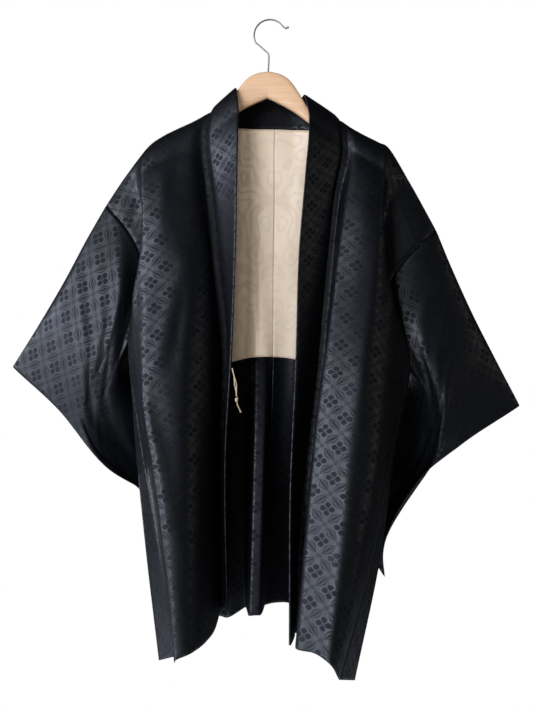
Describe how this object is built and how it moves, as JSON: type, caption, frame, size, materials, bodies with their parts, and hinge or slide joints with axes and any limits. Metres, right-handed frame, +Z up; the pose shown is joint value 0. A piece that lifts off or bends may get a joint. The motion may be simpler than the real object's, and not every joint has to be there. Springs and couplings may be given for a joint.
{
  "type": "haori jacket on a wooden hanger",
  "caption": "Open-fronted silk haori jacket with wide sleeves, a folded collar band and a tie loop, hanging on a wooden coat hanger with a wire hook.",
  "frame": {"origin": "top of the inside of the hanger's hook, where it rests on a rail", "axes": "+Z up along the shank, +X to the right of someone facing the jacket's open front, +Y towards the jacket's back"},
  "size_m": [0.89, 0.3262, 1.1208],
  "materials": {
    "damask": "black silk damask with a woven pattern, soft sheen",
    "lining": "cream silk, soft sheen",
    "cord": "twisted straw coloured silk cord",
    "wood": "pale wood, clear satin varnish",
    "wire": "bright wire"
  },
  "bodies": {
    "root": {"body_left": "damask", "body_right": "damask", "sleeve_left": "damask", "sleeve_right": "damask", "gusset_left": "damask", "gusset_right": "damask", "collar": "damask", "lining_left": "lining", "lining_right": "lining", "tie_cord": "cord", "tie_knot": "cord", "tie_tail": "cord", "hanger_wood": "wood", "hanger_hook": "wire"}
  },
  "joints": []
}
